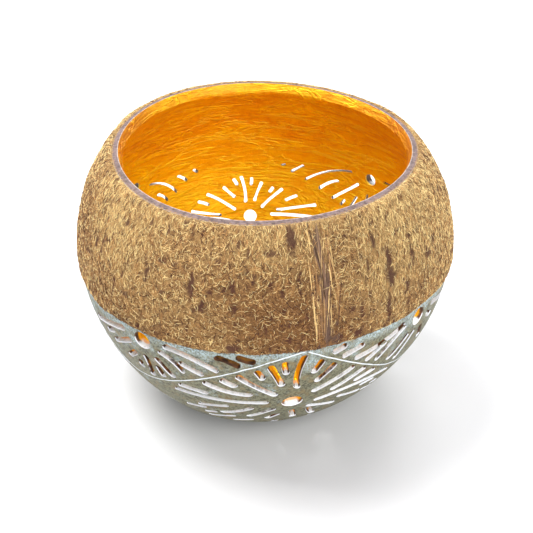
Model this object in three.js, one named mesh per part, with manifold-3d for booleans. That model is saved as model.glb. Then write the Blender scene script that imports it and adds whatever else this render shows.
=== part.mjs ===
// A coconut shell bowl: a band of the nut's own husk felt is left on its upper half, and the bare
// shell below is carved and pierced with rayed rounds under four hanging swags. Gilded inside.
// Millimetres, +Z up, origin at the centre of the flat ground foot. The front faces -Y.
// Azimuths are in degrees from +X, counter-clockwise seen from above, so the front is at 270.

import * as THREE from 'three';
import { mergeVertices } from 'three/addons/utils/BufferGeometryUtils.js';
import Module from 'manifold-3d';

const wasm = await Module();
wasm.setup();

// The nut's outer form
const maxRadius = 65;
const equatorHeight = 55.5;
const rimHeight = 94;
const footRadius = 24;
const lobeHeight = 0.016;
const lobeAzimuth = 5.4;
const upperReach = 59.9;
const upperPower = 2.155;
const lowerReach = 65.4;
const lowerPower = 1.8;
const turnHeight = 11.5;
const ridgeRadius = 49.2;
const turnControl = { radius: 35.4, height: 1.95 };

// Layers, as depths below the outer form
const feltProud = -0.3;
const feltDepth = 0.9;
const bareDepth = 0.6;
const seatDepth = 1.2;
const innerDepth = 4.6;
const liningOuter = 4.9;
const liningInner = 5.4;
const carvedThinner = 1.2;
const thinning = { from: 14, to: -8 };
const strandProud = -0.8;
const strandDepth = 0.85;
const gap = 0.3;
const huskTop = 93.6;

// The edge of the husk band, level across the front and higher behind, as the carver left it
const edgeArc = -0.7;
const edgeRise = 5.6;
const edgeTurn = { from: -0.35, to: 0.75 };

// The three seams of the nut, each with its bundle of long straight fibres
const seams = { front: 288, right: 48, left: 168 };
const seamWidth = 10;

// The carving. Arcs run along the surface from the equator, up is positive.
const slotWidth = 1.8;
const shortestSlot = 4;

// The long slots of each kind of round: bearing and distance of the near end from the round's
// centre, then of the far end. The short slots between them are part of the surface's finish.
const fan = [
  [84, 9, 84, 25], [110, 12, 112, 24], [135, 8, 138, 26.5], [155, 15, 159, 33], [174, 8, 176, 40],
  [204, 13, 205, 30], [222, 7, 222, 18.5], [277, 8, 277, 18], [315, 8, 328, 20], [346, 8, 0, 39],
  [14, 13.5, 23, 29.5], [38, 8, 34, 26], [58, 13, 54, 24],
];
const backFan = [
  [6, 12, 12, 26], [26, 6.5, 31, 21], [53, 10, 50, 17.5], [76, 6, 79, 18], [107, 6.5, 110, 16],
  [145, 6, 139, 18.5], [166, 11, 166, 29.5], [204, 13, 205, 28], [222, 7, 222, 18.5], [277, 8, 277, 18],
  [315, 8, 328, 20], [346, 8, 0, 34],
];
const leftRays = [
  [9, 8.5, 350, 27], [345, 7, 329, 17], [309, 7, 308, 16.5], [267, 6.5, 270, 18], [205, 6.5, 209, 18.5],
  [171, 8.5, 191, 27.5], [3, 26, 357, 34],
];
const rightRays = [
  [172, 8.5, 189, 29], [189, 16.5, 199, 25], [181, 7, 209, 21], [235, 6.5, 231, 18], [266, 6.5, 250, 18],
  [5, 8.5, 350, 27],
];
const rearRightRays = [
  [5, 8.5, 345, 31.5], [340, 16, 335, 26.5], [326, 7, 321, 22.5], [301, 11, 298, 18], [278, 7, 277, 14],
  [216, 6.5, 214, 14], [166, 7, 174, 24],
];
const rearLeftRays = [
  [8, 9, 351, 26], [330, 7, 325, 18], [305, 8, 305, 16], [262, 7, 262, 16], [215, 13, 219, 23.5],
  [192, 8, 207, 27], [186, 21, 197, 30],
];
const low = [
  { azimuth: 280, arc: -27.8, hole: 3.5, slots: fan },
  { azimuth: 8, arc: -26, hole: 3.5, reach: 0.86, slots: fan },
  { azimuth: 95, arc: -24.1, hole: 3.1, slots: backFan },
  { azimuth: 188, arc: -26, hole: 3.5, reach: 0.86, slots: fan },
];
const high = [
  { azimuth: 233.7, arc: -4.6, hole: 3.2, slots: leftRays },
  { azimuth: 324.2, arc: -5.3, hole: 3.2, slots: rightRays },
  { azimuth: 47.2, arc: 1.1, hole: 3, slots: rearRightRays },
  { azimuth: 141, arc: 0, hole: 3, slots: rearLeftRays },
];

// The swags hang between peaks over the low rounds. Azimuth is that of a swag's lowest point.
const peaks = [282.7, 10, 97, 190];
const peakDrop = 0.7;
const swags = [
  { name: 'left', azimuth: 225, power: 1.35, depth: 24.2 },
  { name: 'right', azimuth: 328, power: 1.05, depth: 26 },
  { name: 'rear_right', azimuth: 51, power: 1.2, depth: 27 },
  { name: 'rear_left', azimuth: 144, power: 1.2, depth: 26 },
];
const swagFlatten = 6;

// How finely a turned body is faceted. The husk's band lies over the shell, so it is the finer.
const coarse = { facets: 32, ringStep: 9 };
const fine = { facets: 64, ringStep: 7 };

const turn = (degrees) => (degrees * Math.PI) / 180;
const shortTurn = (degrees) => ((degrees + 540) % 360) - 180;

function radiusAtHeight(height) {
  const z = height - equatorHeight;
  const reach = z < 0 ? lowerReach : upperReach;
  const power = z < 0 ? lowerPower : upperPower;
  return maxRadius * (1 - (Math.abs(z) / reach) ** power) ** (1 / power);
}

// The meridian from the foot's edge to the rim, with the arc length counted from the equator
function traceMeridian() {
  const points = [];
  const turnStart = new THREE.Vector2(radiusAtHeight(turnHeight), turnHeight);
  const curve = new THREE.QuadraticBezierCurve(
    new THREE.Vector2(footRadius, 0),
    new THREE.Vector2(turnControl.radius, turnControl.height),
    turnStart,
  );
  points.push(...curve.getPoints(60));
  const steps = 400;
  for (let i = 1; i <= steps; i += 1) {
    const height = turnHeight + ((rimHeight - turnHeight) * i) / steps;
    points.push(new THREE.Vector2(radiusAtHeight(height), height));
  }
  const arcs = [0];
  for (let i = 1; i < points.length; i += 1) {
    arcs.push(arcs[i - 1] + points[i].distanceTo(points[i - 1]));
  }
  const equator = arcs[points.findIndex((point) => point.y >= equatorHeight)];
  return { points, arcs: arcs.map((arc) => arc - equator) };
}

const meridian = traceMeridian();
const footArc = meridian.arcs[0];
const rimArc = meridian.arcs[meridian.arcs.length - 1];

// A point of the meridian at an arc, sunk along the normal by a depth
function onMeridian(arc, depth = 0) {
  const { points, arcs } = meridian;
  let i = arcs.findIndex((value) => value >= arc);
  i = Math.min(Math.max(i < 0 ? arcs.length - 1 : i, 1), arcs.length - 1);
  const share = (arc - arcs[i - 1]) / (arcs[i] - arcs[i - 1]);
  const point = points[i - 1].clone().lerp(points[i], share);
  const along = points[i].clone().sub(points[i - 1]).normalize();
  const normal = new THREE.Vector2(along.y, -along.x);
  return { point: point.addScaledVector(normal, -depth), normal };
}

const lobe = (azimuth) => 1 + lobeHeight * Math.cos(3 * (azimuth - turn(lobeAzimuth)));

// A point of the surface in space, and the way out of the surface there
function onSurface(azimuth, arc, depth = 0) {
  const { point, normal } = onMeridian(arc, depth);
  const angle = turn(azimuth);
  const radius = point.x * lobe(angle);
  return {
    point: new THREE.Vector3(radius * Math.cos(angle), radius * Math.sin(angle), point.y),
    normal: new THREE.Vector3(normal.x * Math.cos(angle), normal.x * Math.sin(angle), normal.y),
  };
}

const smooth = (from, to, value) => {
  const share = Math.min(Math.max((value - from) / (to - from), 0), 1);
  return share * share * (3 - 2 * share);
};

// The arc at which the husk ends
const edgeAt = (azimuth) => edgeArc + edgeRise * smooth(edgeTurn.from, edgeTurn.to, Math.sin(turn(azimuth)));

function toSolid(geometry) {
  geometry.deleteAttribute('normal');
  geometry.deleteAttribute('uv');
  const merged = mergeVertices(geometry, 1e-4);
  const triangles = [];
  for (let i = 0; i < merged.index.count; i += 3) {
    const [a, b, c] = [0, 1, 2].map((k) => merged.index.getX(i + k));
    if (a !== b && b !== c && c !== a) triangles.push(a, b, c);
  }
  return new wasm.Manifold(new wasm.Mesh({
    numProp: 3,
    vertProperties: new Float32Array(merged.attributes.position.array),
    triVerts: new Uint32Array(triangles),
  }));
}

function toGeometry(solid) {
  const mesh = solid.getMesh();
  const geometry = new THREE.BufferGeometry();
  geometry.setAttribute('position', new THREE.BufferAttribute(mesh.vertProperties, mesh.numProp));
  geometry.setIndex(new THREE.BufferAttribute(mesh.triVerts, 1));
  return geometry;
}

// A turned body from a profile, pressed into the nut's three lobes
function turned(profile, detail) {
  const geometry = new THREE.LatheGeometry(profile, detail.facets);
  geometry.rotateX(Math.PI / 2);
  const position = geometry.attributes.position;
  for (let i = 0; i < position.count; i += 1) {
    const scale = lobe(Math.atan2(position.getY(i), position.getX(i)));
    position.setXY(i, position.getX(i) * scale, position.getY(i) * scale);
  }
  return toSolid(geometry);
}

// One face of a layer, from the foot's side to the rim's. Its depth is a function of the arc.
function face(depthAt, fromArc, toArc, detail) {
  const count = Math.ceil((toArc - fromArc) / detail.ringStep);
  return Array.from({ length: count + 1 }, (_, i) => {
    const arc = fromArc + ((toArc - fromArc) * i) / count;
    return onMeridian(arc, depthAt(arc)).point;
  });
}

const withHeight = (point, height) => new THREE.Vector2(point.x, height);
const onAxis = (height) => new THREE.Vector2(0, height);

// Ends the face at a given height
function upTo(height, points) {
  const last = points.pop();
  return [...points, withHeight(last, height)];
}

// The inside of a layer from the floor up, and on up the bevel that leads out to the rim's ridge.
// The carved lower wall is thinner than the rim's.
function inside(depth, top) {
  const wallEnd = onMeridian(rimArc, innerDepth).point;
  const lean = (ridgeRadius - wallEnd.x) / (rimHeight - wallEnd.y);
  const aside = (depth - innerDepth) * Math.hypot(1, lean);
  const radius = ridgeRadius - aside - lean * (rimHeight - top);
  const thinned = (arc) => depth - carvedThinner * smooth(thinning.from, thinning.to, arc);
  return [...face(thinned, footArc, rimArc, coarse), new THREE.Vector2(radius, top)];
}

function makeShellBlank() {
  const outer = face(() => bareDepth, footArc, rimArc, coarse);
  outer[0].y = 0;
  const inner = inside(innerDepth, rimHeight);
  return turned([onAxis(0), ...outer, ...inner.toReversed(), onAxis(inner[0].y)], coarse);
}

function makeLiningBlank() {
  const outer = inside(liningOuter, rimHeight - gap);
  const inner = inside(liningInner, rimHeight - gap);
  return turned([onAxis(outer[0].y), ...outer, ...inner.toReversed(), onAxis(inner[0].y)], coarse);
}

const bandStart = -28;

// How far cutters stand out over the surface, and how deep they go
const cutOut = 6;
const cutIn = 15;

// A band of husk round the upper half between two depths, down past the husk's edge
function makeBand(outerDepth, backDepth) {
  const outer = upTo(huskTop, face(() => outerDepth, bandStart, rimArc, fine));
  const back = upTo(huskTop, face(() => backDepth, bandStart, rimArc, fine));
  return turned([...outer, ...back.toReversed(), outer[0].clone()], fine);
}

// All that is scraped off the shell's outside to seat the husk, and straight on up beside the rim
function makeSeat() {
  const above = rimHeight + cutOut;
  const outer = face(() => -cutOut, bandStart, rimArc, coarse);
  const inner = face(() => seatDepth, bandStart, rimArc, coarse);
  const lip = [withHeight(outer.at(-1), above), withHeight(inner.at(-1), above)];
  return turned([...outer, ...lip, ...inner.toReversed(), outer[0].clone()], coarse);
}

// Everything under the husk's edge, lowered by a margin
function belowEdge(margin) {
  const far = 4 * maxRadius;
  const corners = [[far, -far], [far, 0], [footRadius, 0]].map(([x, y]) => new THREE.Vector2(x, y));
  const block = turned([onAxis(-far), ...corners, onAxis(0)], fine);
  return block.warp((vertex) => {
    const [x, y, z] = vertex;
    if (z < -1) return;
    const edge = Math.hypot(x, y) < 1 ? 0 : edgeAt(THREE.MathUtils.radToDeg(Math.atan2(y, x)));
    vertex[2] = equatorHeight + edge - margin;
  });
}

function prism(points, bottom, top) {
  const geometry = new THREE.ExtrudeGeometry(new THREE.Shape(points), {
    depth: top - bottom, bevelEnabled: false,
  });
  geometry.translate(0, 0, bottom);
  return geometry;
}

// A radial strip of the given width, standing the full height
function strip(azimuth, width) {
  const far = 2 * maxRadius;
  const geometry = new THREE.BoxGeometry(far, width, 2 * far);
  geometry.translate(far / 2 + width, 0, 0);
  geometry.rotateZ(turn(azimuth));
  return toSolid(geometry);
}

// The sector between two azimuths, less half a strip on each side
function sector(from, to, margin) {
  const far = 2.5 * maxRadius;
  const sweep = (to - from + 360) % 360;
  const middle = turn(from + sweep / 2);
  const start = margin / Math.sin(turn(sweep / 2));
  const points = [new THREE.Vector2(start * Math.cos(middle), start * Math.sin(middle))];
  const corner = (azimuth, side) => {
    const angle = turn(azimuth);
    points.push(new THREE.Vector2(
      far * Math.cos(angle) - side * margin * Math.sin(angle),
      far * Math.sin(angle) + side * margin * Math.cos(angle),
    ));
  };
  corner(from, 1);
  points.push(new THREE.Vector2(2 * far * Math.cos(middle), 2 * far * Math.sin(middle)));
  corner(to, -1);
  return toSolid(prism(points, -far, far));
}

// A cutter with its outline in the surface and its sides along the way out
function cutter(outline, place, reachOut, reachIn, along) {
  const side = new THREE.Vector3().crossVectors(place.normal, along).normalize();
  const forward = new THREE.Vector3().crossVectors(side, place.normal);
  const geometry = prism(outline, -reachIn, reachOut);
  const frame = new THREE.Matrix4().makeBasis(forward, side, place.normal);
  geometry.applyMatrix4(frame.setPosition(place.point));
  return toSolid(geometry);
}

const holeSides = 8;

function holeCutter(azimuth, arc, radius) {
  const place = onSurface(azimuth, arc);
  const outline = Array.from({ length: holeSides }, (_, i) => {
    const angle = (2 * Math.PI * i) / holeSides;
    return new THREE.Vector2(radius * Math.cos(angle), radius * Math.sin(angle));
  });
  return cutter(outline, place, cutOut, cutIn, new THREE.Vector3(0, 0, 1));
}

// A point at a bearing and distance from a round's centre, measured over the surface
function fromCentre(azimuth, arc, bearing, distance) {
  const rise = distance * Math.sin(turn(bearing));
  const run = distance * Math.cos(turn(bearing));
  const radius = onMeridian(arc + rise).point.x;
  return { azimuth: azimuth + (run / radius) * (180 / Math.PI), arc: arc + rise };
}

// The cutter of a slot, a straight bar between the two points given
function slotCutter(azimuth, arc, [startBearing, startDistance, endBearing, endDistance]) {
  const start = fromCentre(azimuth, arc, startBearing, startDistance);
  const end = fromCentre(azimuth, arc, endBearing, endDistance);
  const middle = fromCentre(
    azimuth, arc, startBearing + shortTurn(endBearing - startBearing) / 2, (startDistance + endDistance) / 2,
  );
  const place = onSurface(middle.azimuth, middle.arc);
  const from = onSurface(start.azimuth, start.arc).point.sub(place.point);
  const to = onSurface(end.azimuth, end.arc).point.sub(place.point);
  const along = to.clone().sub(from);
  const side = new THREE.Vector3().crossVectors(place.normal, along).normalize();
  const forward = new THREE.Vector3().crossVectors(side, place.normal);
  const flat = (vector) => [vector.dot(forward), vector.dot(side)];
  const [startX, startY] = flat(from);
  const [endX, endY] = flat(to);
  const half = slotWidth / 2;
  const outline = [
    [startX, startY - half], [endX, endY - half], [endX, endY + half], [startX, startY + half],
  ].map(([x, y]) => new THREE.Vector2(x, y));
  return cutter(outline, place, cutOut, cutIn, along);
}

function piercings() {
  const cutters = [];
  for (const { azimuth, arc, hole, slots, reach = 1 } of [...high, ...low]) {
    cutters.push(holeCutter(azimuth, arc, hole));
    for (const [startBearing, startDistance, endBearing, endDistance] of slots) {
      const end = Math.max(endDistance * reach, startDistance + shortestSlot);
      cutters.push(slotCutter(azimuth, arc, [startBearing, startDistance, endBearing, end]));
    }
  }
  return cutters;
}

// How far a swag has sunk below its peaks, at a share of the way to its lowest point
function sag(share, power) {
  const correction = power / swagFlatten;
  return (share ** power - correction * share ** swagFlatten) / (1 - correction);
}

// A swag hangs between two neighbouring peaks
function swagPath(swag, trim) {
  const turns = peaks.map((peak) => shortTurn(peak - swag.azimuth));
  const leftPeak = Math.max(...turns.filter((degrees) => degrees < 0));
  const rightPeak = Math.min(...turns.filter((degrees) => degrees > 0));
  const steps = 26;
  const from = leftPeak + trim;
  const to = rightPeak - trim;
  return Array.from({ length: steps + 1 }, (_, i) => {
    const offset = from + ((to - from) * i) / steps;
    const share = Math.max(0, 1 - Math.abs(offset) / (offset < 0 ? -leftPeak : rightPeak));
    const azimuth = swag.azimuth + offset;
    return { azimuth, arc: edgeAt(azimuth) - peakDrop - swag.depth * sag(share, swag.power) };
  });
}

// A bar of rectangular section laid along a path on the surface
function bar(path, width, topDepth, bottomDepth) {
  const corners = [];
  path.forEach((step, i) => {
    const before = path[Math.max(i - 1, 0)];
    const after = path[Math.min(i + 1, path.length - 1)];
    const along = onSurface(after.azimuth, after.arc).point.sub(onSurface(before.azimuth, before.arc).point);
    const { normal } = onSurface(step.azimuth, step.arc);
    const side = new THREE.Vector3().crossVectors(normal, along).normalize().multiplyScalar(width / 2);
    const top = onSurface(step.azimuth, step.arc, topDepth).point;
    const bottom = onSurface(step.azimuth, step.arc, bottomDepth).point;
    corners.push(top.clone().add(side), top.clone().sub(side), bottom.clone().sub(side), bottom.clone().add(side));
  });
  const index = [0, 2, 1, 0, 3, 2];
  for (let i = 0; i < path.length - 1; i += 1) {
    for (let k = 0; k < 4; k += 1) {
      const a = 4 * i + k;
      const b = 4 * i + ((k + 1) % 4);
      index.push(a, b, a + 4, b, b + 4, a + 4);
    }
  }
  const last = 4 * (path.length - 1);
  index.push(last, last + 1, last + 2, last, last + 2, last + 3);
  const geometry = new THREE.BufferGeometry().setFromPoints(corners);
  geometry.setIndex(index);
  return toSolid(geometry);
}

const lineWidth = 0.7;
const lineDepth = 0.5;
const lineTrim = 0.7;
const grooveOverrun = 0.9;

const finishes = {
  shell: { color: 0x8a846c, roughness: 0.6, metalness: 0 },
  gilding: { color: 0xe09a12, roughness: 0.35, metalness: 0.9 },
  felt: { color: 0x9a7340, roughness: 0.95, metalness: 0 },
  strand: { color: 0xb98a4b, roughness: 0.9, metalness: 0 },
  whiting: { color: 0xd9dce0, roughness: 0.7, metalness: 0 },
};

const bowl = new THREE.Group();

function addPiece(name, solid, finish) {
  const mesh = new THREE.Mesh(toGeometry(solid), new THREE.MeshStandardMaterial(finishes[finish]));
  mesh.name = name;
  bowl.add(mesh);
}

const cutters = piercings();
const pierce = (solid) => cutters.reduce((body, tool) => body.subtract(tool), solid);

// The shell: seat for the husk above, holes and slots through the wall, and grooves for the swags
const seat = makeSeat().subtract(belowEdge(gap));
const grooves = swags.map((swag) => (
  bar(swagPath(swag, -grooveOverrun), lineWidth + 2 * gap, -cutOut, bareDepth + lineDepth + gap)
));
const shell = grooves.reduce((body, tool) => body.subtract(tool), pierce(makeShellBlank()).subtract(seat));
addPiece('shell', shell, 'shell');
addPiece('gold_lining', pierce(makeLiningBlank()), 'gilding');

// The husk felt in its three fields, and the straight strands over the three seams
const felt = makeBand(feltProud, feltDepth).subtract(belowEdge(0));
const strands = makeBand(strandProud, strandDepth).subtract(belowEdge(0));
const fields = [['husk_felt_left', 'left', 'front'], ['husk_felt_right', 'front', 'right'],
  ['husk_felt_rear', 'right', 'left']];
for (const [name, from, to] of fields) {
  addPiece(name, felt.intersect(sector(seams[from], seams[to], seamWidth / 2 + gap)), 'felt');
}
for (const [place, azimuth] of Object.entries(seams)) {
  addPiece(`seam_strand_${place}`, strands.intersect(strip(azimuth, seamWidth)), 'strand');
}

// The whiting laid in each swag's groove
for (const swag of swags) {
  const line = bar(swagPath(swag, lineTrim), lineWidth, bareDepth, bareDepth + lineDepth);
  addPiece(`swag_line_${swag.name}`, line, 'whiting');
}

export default bowl;
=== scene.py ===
import bpy, bmesh, math, random
from mathutils import Matrix, Vector, noise


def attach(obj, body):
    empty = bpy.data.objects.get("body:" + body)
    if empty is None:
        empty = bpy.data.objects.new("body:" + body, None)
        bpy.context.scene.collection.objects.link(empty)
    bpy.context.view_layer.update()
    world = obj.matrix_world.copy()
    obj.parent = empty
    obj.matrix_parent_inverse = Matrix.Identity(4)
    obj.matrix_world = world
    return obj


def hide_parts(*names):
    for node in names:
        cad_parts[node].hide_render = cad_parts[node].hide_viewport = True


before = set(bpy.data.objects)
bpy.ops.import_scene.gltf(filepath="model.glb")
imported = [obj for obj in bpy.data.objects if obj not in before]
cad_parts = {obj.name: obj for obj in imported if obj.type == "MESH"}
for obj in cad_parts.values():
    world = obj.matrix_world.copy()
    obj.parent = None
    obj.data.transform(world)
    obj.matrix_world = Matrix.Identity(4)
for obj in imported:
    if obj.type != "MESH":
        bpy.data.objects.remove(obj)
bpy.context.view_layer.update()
mm = 0.001
seeds = {"carving": 11, "stains": 5, "fibres": 20, "strands": 40}

# The coconut's outer form, in millimetres. Arcs run along the surface from the widest ring, up positive.
nut = {
    "radius": 65, "widest": 55.5, "rim": 94, "foot": 24, "ridge": 49.2,
    "lobe": 0.016, "lobeTurn": 5.4,
    "upperReach": 59.9, "upperPower": 2.155, "lowerReach": 65.4, "lowerPower": 1.8,
    "turnHeight": 11.5, "turnRadius": 35.4, "turnLift": 1.95,
}

# Depths of the layers below that form, and how much thinner the wall is where it is carved
layers = {
    "felt": -0.3, "bare": 0.6, "seat": 1.3, "wall": 4.6, "gild": 5.4,
    "thinner": 1.2, "thin": (14, -8),
}

# The lower edge of the husk: level in front, higher behind, and a little uneven. A dip has an azimuth
# and how far it raises the edge. The seams are given by their azimuths.
husk = {
    "edge": -0.7, "rise": 5.6, "turn": (-0.35, 0.75),
    "sway": 0.5, "swayScale": 2.2, "nicks": 0.35, "nickScale": 13,
    "dips": [(217, -0.8), (326, 0.9), (341, -0.4)], "dipWidth": 7,
    "seams": {"front": 288, "right": 48, "left": 168},
}


def smooth(start, end, value):
    share = min(max((value - start) / (end - start), 0), 1)
    return share * share * (3 - 2 * share)


def between(ends, share):
    return ends[0] + (ends[1] - ends[0]) * share


def shortTurn(degrees):
    return (degrees + 540) % 360 - 180


def radiusAt(height):
    z = height - nut["widest"]
    side = "lower" if z < 0 else "upper"
    reach, power = nut[side + "Reach"], nut[side + "Power"]
    return nut["radius"] * (1 - (abs(z) / reach) ** power) ** (1 / power)


def traceMeridian():
    start = Vector((nut["foot"], 0))
    pull = Vector((nut["turnRadius"], nut["turnLift"]))
    end = Vector((radiusAt(nut["turnHeight"]), nut["turnHeight"]))
    points, turnSteps, steps = [], 80, 500
    for i in range(turnSteps):
        t = i / turnSteps
        points.append(start * (1 - t) ** 2 + pull * 2 * t * (1 - t) + end * t * t)
    for i in range(steps + 1):
        height = nut["turnHeight"] + (nut["rim"] - nut["turnHeight"]) * i / steps
        points.append(Vector((radiusAt(height), height)))
    arcs = [0.0]
    for a, b in zip(points, points[1:]):
        arcs.append(arcs[-1] + (b - a).length)
    widest = arcs[next(i for i, p in enumerate(points) if p.y >= nut["widest"])]
    return points, [arc - widest for arc in arcs]


meridian, meridianArcs = traceMeridian()
footArc, rimArc = meridianArcs[0], meridianArcs[-1]
tableStep = 0.1


def tabulate():
    # Radius, height and outward direction at even arcs, so that many points can be looked up quickly
    rows, i = [], 1
    count = int((rimArc - footArc) / tableStep) + 2
    for k in range(count):
        arc = min(footArc + k * tableStep, rimArc)
        while i < len(meridian) - 1 and meridianArcs[i] < arc:
            i += 1
        share = (arc - meridianArcs[i - 1]) / (meridianArcs[i] - meridianArcs[i - 1])
        point = meridian[i - 1].lerp(meridian[i], share)
        along = (meridian[i] - meridian[i - 1]).normalized()
        rows.append((point.x, point.y, along.y, -along.x))
    return rows


arcTable = tabulate()


def rowAt(arc):
    k = min(max((arc - footArc) / tableStep, 0), len(arcTable) - 1.001)
    low, share = int(k), k - int(k)
    a, b = arcTable[low], arcTable[low + 1]
    return [p + (q - p) * share for p, q in zip(a, b)]


def onMeridian(arc, depth):
    r, z, nr, nz = rowAt(arc)
    return r - depth * nr, z - depth * nz


def arcAtHeight(height):
    low, high = 0, len(arcTable) - 1
    while high - low > 1:
        middle = (low + high) // 2
        if arcTable[middle][1] < height:
            low = middle
        else:
            high = middle
    span = arcTable[high][1] - arcTable[low][1]
    share = (height - arcTable[low][1]) / span if span else 0
    return footArc + (low + min(max(share, 0), 1)) * tableStep


def lobe(angle):
    return 1 + nut["lobe"] * math.cos(3 * (angle - math.radians(nut["lobeTurn"])))


def onNut(azimuth, arc, depth=0.0):
    r, z = onMeridian(arc, depth)
    angle = math.radians(azimuth)
    r *= lobe(angle)
    return Vector((r * math.cos(angle), r * math.sin(angle), z)) * mm


def polarOf(point):
    # Azimuth, arc at the same height, and radius with the lobes taken out, of a point in metres
    x, y, z = point / mm
    angle = math.atan2(y, x)
    return math.degrees(angle), arcAtHeight(z), math.hypot(x, y) / lobe(angle)


def thinned(depth, arc):
    return depth - layers["thinner"] * smooth(*layers["thin"], arc)


def levelEdge(azimuth):
    return husk["edge"] + husk["rise"] * smooth(*husk["turn"], math.sin(math.radians(azimuth)))


def huskEdge(azimuth):
    # Where the husk stops, with the slow sway and small nicks of a hand-held file
    angle = math.radians(azimuth)
    around = Vector((math.cos(angle), math.sin(angle), 0.3))
    sway = noise.noise(around * husk["swayScale"]) * husk["sway"]
    nicks = noise.noise(around * husk["nickScale"]) * husk["nicks"]
    edge = levelEdge(azimuth) + sway + nicks
    for place, dip in husk["dips"]:
        edge += dip * math.exp(-(shortTurn(azimuth - place) / husk["dipWidth"]) ** 2)
    return edge


def addObject(name, data):
    added = bpy.data.objects.new(name, data)
    bpy.context.scene.collection.objects.link(added)
    return added


def finishPiece(name, bm, materials, smoothShading=True):
    return finishMesh(name, meshOf(bm, name), materials, smoothShading)


def finishMesh(name, mesh, materials, smoothShading=True):
    mesh.name = name
    piece = addObject(name, mesh)
    for material in materials:
        mesh.materials.append(material)
    if smoothShading:
        mesh.polygons.foreach_set("use_smooth", [True] * len(mesh.polygons))
    return piece


def meshOf(bm, name):
    mesh = bpy.data.meshes.new(name)
    bm.to_mesh(mesh)
    bm.free()
    return mesh


def mark(mesh, name, values, domain="POINT"):
    # Keeps a value for each point or corner, for the finishes to read
    mesh.attributes.new(name, "FLOAT", domain).data.foreach_set("value", values)


def settle(piece):
    # Puts the result of the piece's modifiers into its mesh
    bpy.context.view_layer.update()
    depsgraph = bpy.context.evaluated_depsgraph_get()
    mesh = bpy.data.meshes.new_from_object(piece.evaluated_get(depsgraph))
    piece.modifiers.clear()
    old, piece.data = piece.data, mesh
    bpy.data.meshes.remove(old)
    mesh.name = piece.name
    return piece


def join(piece, stands):
    # Fixes a piece to the bowl: it stands for a solid, or lies on one where stands is empty
    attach(piece, "root")
    if stands:
        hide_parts(stands)


class Wire:
    # A socket that plain Python sums can be written with
    def __init__(self, finish, socket):
        self.finish, self.socket = finish, socket

    def sum(self, operation, a, b=0.0):
        return self.finish.add("Math", {"operation": operation}, {0: a, 1: b})

    def __add__(self, other):
        return self.sum("ADD", self, other)

    def __sub__(self, other):
        return self.sum("SUBTRACT", self, other)

    def __rsub__(self, other):
        return self.sum("SUBTRACT", other, self)

    def __mul__(self, other):
        return self.sum("MULTIPLY", self, other)

    def __abs__(self):
        return self.sum("ABSOLUTE", self)

    def most(self, other):
        return self.sum("MAXIMUM", self, other)

    def ramp(self, low, high, start=0.0, end=1.0):
        values = {"Value": self, "From Min": low, "From Max": high, "To Min": start, "To Max": end}
        return self.finish.add("MapRange", {"interpolation_type": "SMOOTHSTEP"}, values)


class Nodes:
    # A node tree whose nodes are made one at a time by add
    def __init__(self, tree):
        self.tree = tree

    def add(self, kind, settings=None, values=None, output=0):
        node = self.tree.nodes.new("ShaderNode" + kind)
        for name, value in (settings or {}).items():
            if name == "stops":
                self.setStops(node.color_ramp, value)
            else:
                setattr(node, name, value)
        for name, value in (values or {}).items():
            self.feed(node.inputs[name], value)
        return Wire(self, node.outputs[output])

    def feed(self, socket, value):
        if isinstance(value, Wire):
            self.tree.links.new(value.socket, socket)
        else:
            socket.default_value = value

    def setStops(self, ramp, stops):
        while len(ramp.elements) < len(stops):
            ramp.elements.new(1)
        for element, (position, colour) in zip(ramp.elements, stops):
            element.position, element.color = position, (*colour, 1)

    def seen(self):
        # 1 for the rays that show the background: the camera's, and those off metal and through glass
        kinds = ("Camera", "Glossy", "Transmission")
        rays = [self.add("LightPath", output=f"Is {kind} Ray") for kind in kinds]
        return rays[0].most(rays[1]).most(rays[2])

    def surface(self, output, shader):
        self.feed(self.tree.nodes[output].inputs["Surface"], shader)


class Finish(Nodes):
    # A material, with its shader and the place of a point in the object's own frame
    def __init__(self, name):
        self.material = bpy.data.materials.new(name)
        self.material.use_nodes = True
        super().__init__(self.material.node_tree)
        self.shader = self.tree.nodes["Principled BSDF"]
        self.place = self.add("TexCoord", output="Object")

    def axis(self, letter):
        return self.add("SeparateXYZ", {}, {"Vector": self.place}, letter)

    def attribute(self, name):
        return self.add("Attribute", {"attribute_name": name}, {}, "Fac")

    def stretched(self, x, y, z):
        return self.add("Mapping", {}, {"Vector": self.place, "Scale": (x, y, z)})

    def cloud(self, scale, detail=3, roughness=0.55, place=None, distortion=0.0):
        values = {"Vector": place or self.place, "Scale": scale, "Detail": detail, "Roughness": roughness,
                  "Distortion": distortion}
        return self.add("TexNoise", {}, values, "Fac")

    def hairs(self, *cloud):
        # Thin curling lines, 1 along the middle of each
        return 1 - abs(self.cloud(*cloud) * 2 - 1)

    def mix(self, factor, a, b):
        colour = [value if isinstance(value, Wire) else (*value, 1) for value in (a, b)]
        values = {0: factor, 6: colour[0], 7: colour[1]}
        return self.add("Mix", {"data_type": "RGBA"}, values, 2)

    def shades(self, stops, factor):
        return self.add("ValToRGB", {"stops": stops}, {"Fac": factor}, "Color")

    def bump(self, height, strength, distance):
        return self.add("Bump", {}, {"Height": height, "Strength": strength, "Distance": distance})

    def set(self, **sockets):
        for name, value in sockets.items():
            socket = self.shader.inputs[name.replace("_", " ")]
            if name == "Base_Color" and not isinstance(value, Wire):
                value = (*value, 1)
            self.feed(socket, value)
        return self.material


def tint(red, green, blue):
    # A colour as a picture gives it, 0 to 255, made linear for a shader
    linear = []
    for level in (red / 255, green / 255, blue / 255):
        linear.append(level / 12.92 if level < 0.04045 else ((level + 0.055) / 1.055) ** 2.4)
    return tuple(linear)


print("materials")


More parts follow.
